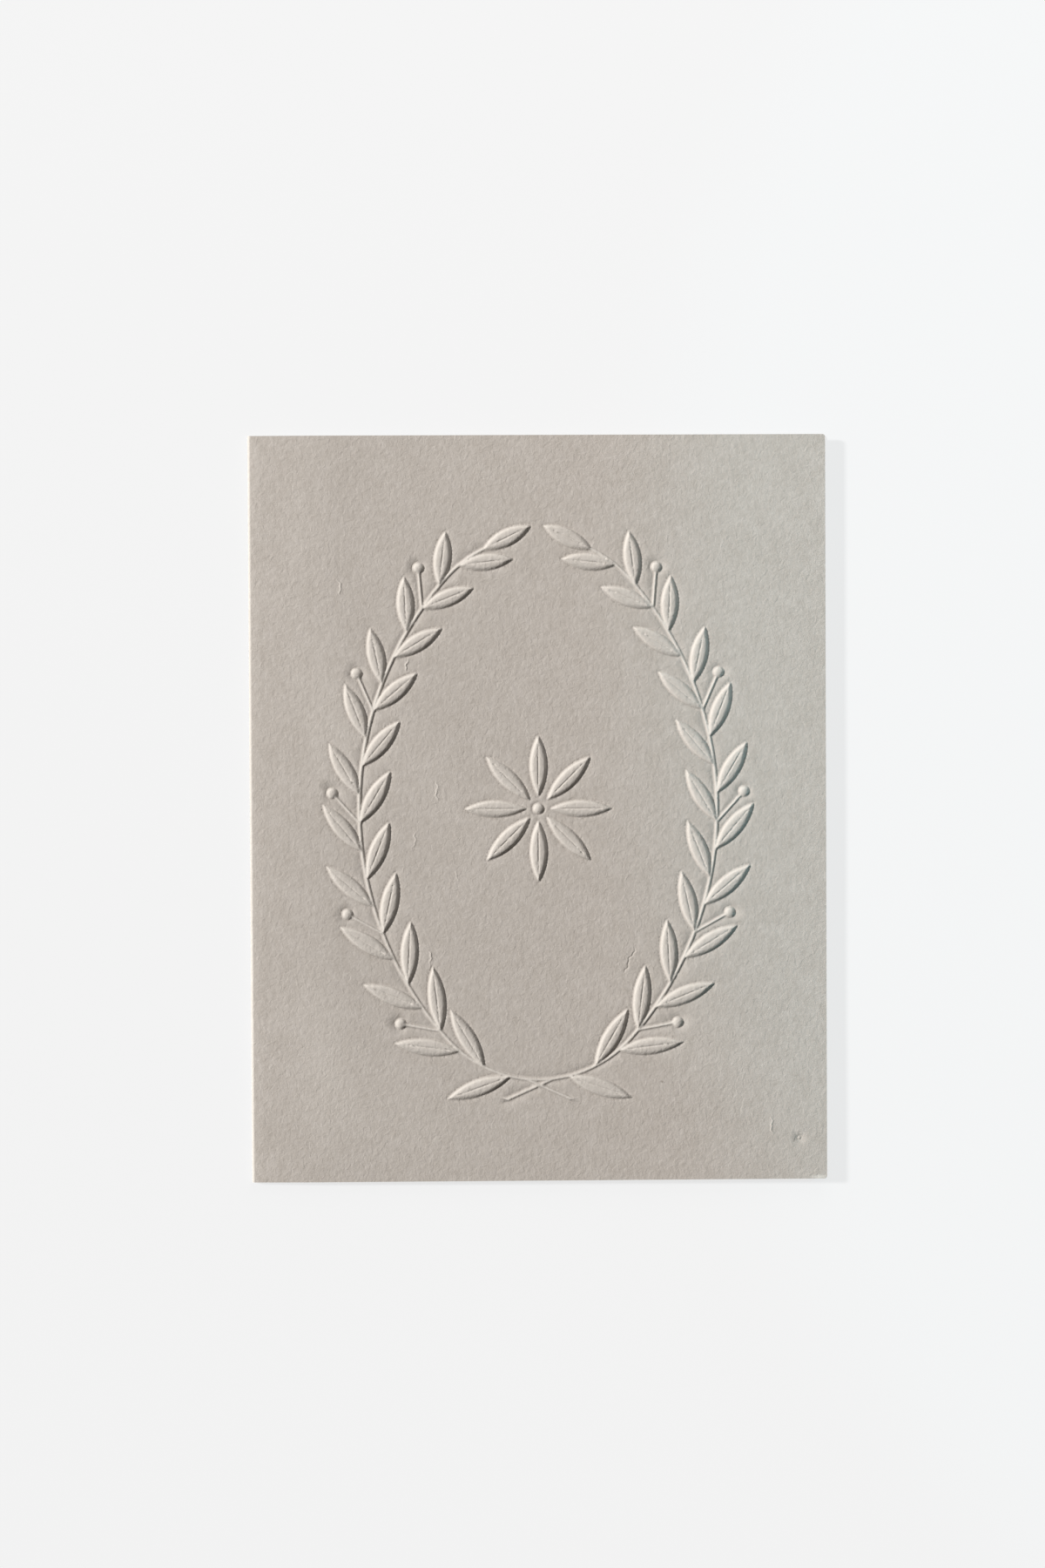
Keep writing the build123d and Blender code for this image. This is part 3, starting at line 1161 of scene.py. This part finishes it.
    def outline(self) -> np.ndarray:
        """The mesh points on the edge of the flat sheet, with its round corners.

        Returns:
            Places on the flat sheet, one a row.
        """
        sheet, half = self.sheet, self.sheet.height / 2
        radius, end = sheet.corner_radius, sheet.flat_width
        back_gap, front_gap = self.edge_gaps
        head = np.concatenate(
            (
                np.arange(radius, sheet.back_run - back_gap, self.back_pitch),
                np.linspace(sheet.fold_end + front_gap, end - radius, self.front_edge_points),
            )
        )
        free = np.linspace(-half + radius, half - radius, self.free_edge_points)
        sparse = free[:: self.back_edge_share]
        turns = np.linspace(0, math.pi / 2, self.corner_points + 2)[1:-1]
        corner = np.column_stack((np.cos(turns), np.sin(turns))) * radius
        parts = [
            np.column_stack((head, np.full_like(head, half))),
            np.column_stack((head, np.full_like(head, -half))),
            np.column_stack((np.full_like(free, end), free)),
            np.column_stack((np.zeros_like(sparse), sparse)),
            np.array([[0.0, half - radius]]),
        ]
        for run_sign, run in ((1, end - radius), (-1, radius)):
            for up_sign in (1, -1):
                centre = np.array([run, up_sign * (half - radius)])
                parts.append(centre + corner * np.array([run_sign, up_sign]))
        return np.vstack(parts)

    def triangles(self, motifs: list[Motif]) -> tuple[np.ndarray, np.ndarray]:
        """Divides the flat sheet into triangles, close together where it is embossed.

        Args:
            motifs: What the die raised.

        Returns:
            Places on the flat sheet, one a row, and the triangles between them.
        """
        sheet, half = self.sheet, self.sheet.height / 2
        fine = np.vstack([self.motif_points(motifs)] + [pucker.points() for pucker in PUCKERS])
        fold_gap, edge_gap = self.front_gaps
        low, high = sheet.fold_end + fold_gap, sheet.flat_width - edge_gap
        plain = self.lattice(low, high, self.front_pitch)
        on_panel = self.panel(plain)
        depth = np.full(len(plain), OUTSIDE)
        for motif in motifs:
            depth = np.maximum(depth, motif.depth(on_panel))
        plain = plain[depth < self.plain_from]
        fine = fine + np.array([sheet.panel_middle, 0])
        fold_gap, edge_gap = self.back_gaps
        back = self.lattice(edge_gap, sheet.back_run - fold_gap, self.back_pitch)
        loose = np.vstack((fine, plain, back, self.outline()))
        rows = np.linspace(-half, half, self.fold_rows)
        runs = np.linspace(sheet.back_run, sheet.fold_end, self.fold_lines + 1)
        creased = np.array([(run, up) for run in runs for up in rows])
        verts = [Vector(p) for p in np.vstack((creased, loose)).tolist()]
        edges = [
            (line * len(rows) + i, line * len(rows) + i + 1)
            for line in range(len(runs))
            for i in range(len(rows) - 1)
        ]
        places, _, faces, *_ = delaunay_2d_cdt(verts, edges, [], 0, self.weld)
        return np.array([tuple(p) for p in places]), np.array([tuple(f) for f in faces])

    def fold_highlight(self, placed: np.ndarray) -> np.ndarray:
        """How much painted highlight is laid along the fold's crest at each point.

        Args:
            placed: Places in the card's own frame, one a row.

        Returns:
            From 0, none, to 1, painted white as the lit fold.
        """
        inside = placed[:, 0] + self.sheet.width / 2
        return self.fold_highlight_most * (1 - smooth_step(*self.fold_highlight_span, inside))

    def relief_burnish_and_highlight(self, relief: np.ndarray) -> np.ndarray:
        """How much the relief is lightened: painted highlight on its steep sides, burnish on its
        crowns.

        Args:
            relief: Heights of the outer face over the plain sheet.

        Returns:
            From 0, untouched, to 1. The steep sides take the most, and the crowns less.
        """
        sides = smooth_step(*self.relief_highlight_span, relief)
        return sides - self.crown_fade_share * smooth_step(*self.crown_fade_span, relief)

    def build(self) -> bpy.types.Object:
        """Makes the folded, embossed sheet as one closed mesh.

        Returns:
            The card.
        """
        motifs = self.motifs()
        flat, tris = self.triangles(motifs)
        relief = self.relief(flat, motifs)
        outer = self.sheet.place(flat, relief)
        inner = self.sheet.place(flat, relief - self.sheet.stock)
        count = len(flat)
        sides = np.vstack((tris[:, [0, 1]], tris[:, [1, 2]], tris[:, [2, 0]]))
        key = np.sort(sides, axis=1)
        _, first, times = np.unique(key, axis=0, return_index=True, return_counts=True)
        rim = sides[first[times == 1]]
        walls = np.column_stack((rim[:, 1], rim[:, 0], rim[:, 0] + count, rim[:, 1] + count))
        places = np.vstack((outer, inner))
        faces = tris.tolist() + (tris[:, ::-1] + count).tolist() + walls.tolist()
        mesh = bpy.data.meshes.new("folded_sheet")
        mesh.from_pydata((places * METRES).tolist(), [], faces)
        mesh.update()
        mesh.shade_smooth()
        self.mark_edges(mesh, rim, count)
        self.unwrap(mesh, flat, len(tris), walls)
        # Painted highlight along the fold's crest, and the relief lightened: painted highlight on
        # its sides, burnish on its crowns.
        shares = {"fold_highlight": self.fold_highlight(places), "relief_burnish_and_highlight": np.tile(self.relief_burnish_and_highlight(relief), 2)}
        for name, share in shares.items():
            layer = mesh.attributes.new(name, "FLOAT", "POINT")
            layer.data.foreach_set("value", share.astype(np.float32))
        card = bpy.data.objects.new("folded_sheet", mesh)
        bpy.context.scene.collection.objects.link(card)
        LOG.info("folded_sheet: %d points, %d faces", len(places), len(faces))
        return card

    def mark_edges(self, mesh: bpy.types.Mesh, rim: np.ndarray, count: int) -> None:
        """Keeps the cut edges of the sheet crisp.

        Args:
            mesh: The card's mesh.
            rim: The outer face's edge, as pairs of points.
            count: Number of points on the outer face.
        """
        cut = {tuple(sorted(pair)) for pair in rim.tolist()}
        cut |= {tuple(sorted((a + count, b + count))) for a, b in rim.tolist()}
        sharp = [tuple(sorted(edge.vertices)) in cut for edge in mesh.edges]
        mark = mesh.attributes.new("sharp_edge", "BOOLEAN", "EDGE")
        mark.data.foreach_set("value", sharp)

    def unwrap(self, mesh: bpy.types.Mesh, flat: np.ndarray, tris: int, walls: np.ndarray) -> None:
        """Lays the sheet's two faces and its cut edges out flat.

        The outer face lies at the foot of the map, the inner face at half its size above it,
        and the four cut edges as strips beside that.

        Args:
            mesh: The card's mesh.
            flat: Places on the flat sheet of the outer face's points.
            tris: Number of triangles on each face.
            walls: The faces of the cut edges.
        """
        margin, strips_at, strip_scale = 2.0, 112.0, 2.2
        half, span = self.sheet.height / 2, self.sheet.flat_width + 2 * margin
        count = len(flat)
        corner = np.empty(len(mesh.loops), np.int32)
        mesh.loops.foreach_get("vertex_index", corner)
        at = flat[corner % count] + np.array([margin, half + margin])
        inside = np.arange(len(corner)) >= 3 * tris
        at[inside] = at[inside] / 2 + np.array([margin / 2, 2 * half + 2 * margin])
        wall = np.arange(len(corner)) >= 6 * tris
        where = flat[corner[wall] % count]
        quad = np.repeat(flat[walls[:, 0]] - flat[walls[:, 1]], 4, axis=0)
        upright = np.abs(quad[:, 1]) > np.abs(quad[:, 0])
        far = np.where(upright, where[:, 0] > self.sheet.flat_width / 2, where[:, 1] > 0)
        strip = 2 * upright + far
        along = np.where(upright, where[:, 1] + half, where[:, 0]) / strip_scale
        rise = np.where(corner[wall] >= count, 0.0, self.sheet.stock)
        shelf = 2 * half + 3 * margin + margin * strip
        at[wall] = np.column_stack((along + strips_at, shelf + rise))
        layer = mesh.uv_layers.new(name="OFBake")
        layer.data.foreach_set("uv", (at / span).astype(np.float32).ravel())

    def dress(self, card: bpy.types.Object) -> None:
        """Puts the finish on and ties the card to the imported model.

        Args:
            card: The card's mesh object.
        """
        card.data.materials.append(self.stock.material())
        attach(card, "root")
        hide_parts(NODE)


@dataclass(frozen=True)
class PaleTable:
    """The tabletop: smooth matt white laminate, which takes the card's soft shadow."""

    colour: str = PALE
    own_glow: float = 0.86  # share of its look that doesn't depend on the lamps
    size: float = 6000.0
    sunk: float = 0.02  # below the card, so that no two faces share a place

    def build(self) -> bpy.types.Object:
        """Makes the tabletop.

        Returns:
            The tabletop, marked as part of the stage.
        """
        half = self.size / 2 * METRES
        mesh = bpy.data.meshes.new("tabletop")
        corners = [(-half, -half, 0), (half, -half, 0), (half, half, 0), (-half, half, 0)]
        mesh.from_pydata(corners, [], [(0, 1, 2, 3)])
        top = bpy.data.objects.new("tabletop", mesh)
        top.location.z = -self.sunk * METRES
        bpy.context.scene.collection.objects.link(top)
        mesh.materials.append(self.material())
        top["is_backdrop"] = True
        return top

    def material(self) -> bpy.types.Material:
        """Makes the tabletop's finish.

        Returns:
            The material.
        """
        made = bpy.data.materials.new("white_laminate")
        made.use_nodes = True
        tree = made.node_tree
        tree.nodes.clear()
        colour = linear(self.colour)
        matt = add_node(tree, "ShaderNodeBsdfDiffuse", {}, {"Color": colour})
        glow = add_node(tree, "ShaderNodeEmission", {}, {"Color": colour, "Strength": 1.0})
        share = add_node(
            tree, "ShaderNodeMath", {"operation": "MULTIPLY"}, {0: seen(tree), 1: self.own_glow}
        )
        looks = {0: share.outputs[0], 1: matt.outputs[0], 2: glow.outputs[0]}
        mixed = add_node(tree, "ShaderNodeMixShader", {}, looks)
        add_node(tree, "ShaderNodeOutputMaterial", {}, {"Surface": mixed.outputs[0]})
        return made


class LampKind(Enum):
    """Blender's types of lamp that the studio has."""

    SUN = "SUN"
    AREA = "AREA"
    SPOT = "SPOT"


@dataclass(frozen=True)
class Lamp:
    """One lamp of the studio. The places where it hangs and at which it aims are in metres."""

    name: str
    kind: LampKind
    place: tuple[float, float, float]
    strength: float
    colour: str = "#FFFFFF"
    aim: tuple[float, float, float] = (0.0, 0.0, 0.0)
    settings: tuple[tuple[str, Any], ...] = ()

    def build(self) -> None:
        """Hangs the lamp in the studio."""
        light = bpy.data.lights.new(self.name, self.kind.value)
        light.energy = self.strength
        light.color = linear(self.colour)[:3]
        for name, value in self.settings:
            setattr(light, name, value)
        lamp = bpy.data.objects.new(self.name, light)
        lamp.location = self.place
        back = Vector(self.place) - Vector(self.aim)
        lamp.rotation_euler = back.to_track_quat("Z", "Y").to_euler()
        bpy.context.scene.collection.objects.link(lamp)


def raking(azimuth: float, elevation: float, distance: float = 2.0) -> tuple[float, float, float]:
    """A place in a direction from the card.

    Args:
        azimuth: From +X towards +Y, in degrees.
        elevation: Above the tabletop, in degrees.
        distance: How far away it is, in metres.

    Returns:
        The place, in metres.
    """
    turn, rise = math.radians(azimuth), math.radians(elevation)
    return (
        distance * math.cos(turn) * math.cos(rise),
        distance * math.sin(turn) * math.cos(rise),
        distance * math.sin(rise),
    )


@dataclass(frozen=True)
class Studio:
    """The light and the camera.

    A window rakes the card from the left and gives nearly all of the light. A white card beyond
    its head fills the shadows, and a wall tints the light on the right of its front.
    """

    lamps: tuple[Lamp, ...] = (
        Lamp(
            "window",
            LampKind.SUN,
            raking(164, 32),
            4.82,
            settings=(("angle", math.radians(7)),),
        ),
        Lamp(
            "head_card",
            LampKind.AREA,
            (0.06, 0.5, 0.32),
            1.15,
            aim=(0.0, 0.02, 0.0),
            settings=(("size", 0.35),),
        ),
        Lamp(
            "green_wall",
            LampKind.SPOT,
            (0.5, 0.1, 0.5),
            4.2,
            "#A0E8FA",
            aim=(0.34, 0.052, 0.0),
            settings=(("spot_size", math.radians(54)), ("spot_blend", 0.15)),
        ),
    )
    sky: float = 0.05
    lens: float = 85.0
    sensor: float = 36.0
    clip: tuple[float, float] = (0.01, 50.0)  # in metres
    camera_at: tuple[float, float, float] = (-24.5, 21.8, 694.6)
    camera_tilt: tuple[float, float, float] = (-1.41, -1.79, -0.28)  # in degrees

    def surround(self) -> None:
        """Makes the room: dim for the light it gives, pale where it is seen."""
        world = bpy.data.worlds.new("room")
        bpy.context.scene.world = world
        world.use_nodes = True
        tree = world.node_tree
        tree.nodes.clear()
        light = {"Color": linear("#FFFFFF"), "Strength": self.sky}
        look = {"Color": linear(PALE), "Strength": 1.0}
        dim = add_node(tree, "ShaderNodeBackground", {}, light)
        pale = add_node(tree, "ShaderNodeBackground", {}, look)
        rooms = {0: seen(tree), 1: dim.outputs[0], 2: pale.outputs[0]}
        mixed = add_node(tree, "ShaderNodeMixShader", {}, rooms)
        add_node(tree, "ShaderNodeOutputWorld", {}, {"Surface": mixed.outputs[0]})

    def camera(self) -> None:
        """Hangs the camera over the card, looking down."""
        data = bpy.data.cameras.new("overhead")
        data.lens = self.lens
        data.sensor_width = self.sensor
        data.clip_start, data.clip_end = self.clip
        eye = bpy.data.objects.new("overhead", data)
        eye.location = Vector(self.camera_at) * METRES
        eye.rotation_euler = Euler([math.radians(angle) for angle in self.camera_tilt])
        bpy.context.scene.collection.objects.link(eye)
        bpy.context.scene.camera = eye

    def build(self) -> None:
        """Sets the colour management, the lamps, the room and the camera."""
        bpy.context.scene.view_settings.view_transform = "Standard"
        self.surround()
        for lamp in self.lamps:
            lamp.build()
        self.camera()


def main() -> None:
    """Builds the card and its studio, and reports each piece."""
    logging.basicConfig(level=logging.INFO, format="%(name)s: %(message)s")
    low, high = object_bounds()
    width, height = (high - low).x / METRES, (high - low).y / METRES
    card = GreetingCard(FoldedSheet(width, height))
    card.dress(card.build())
    LOG.info("card dressed: %.1f x %.1f mm", width, height)
    PaleTable().build()
    Studio().build()
    LOG.info("studio ready")


if __name__ == "__main__":
    main()
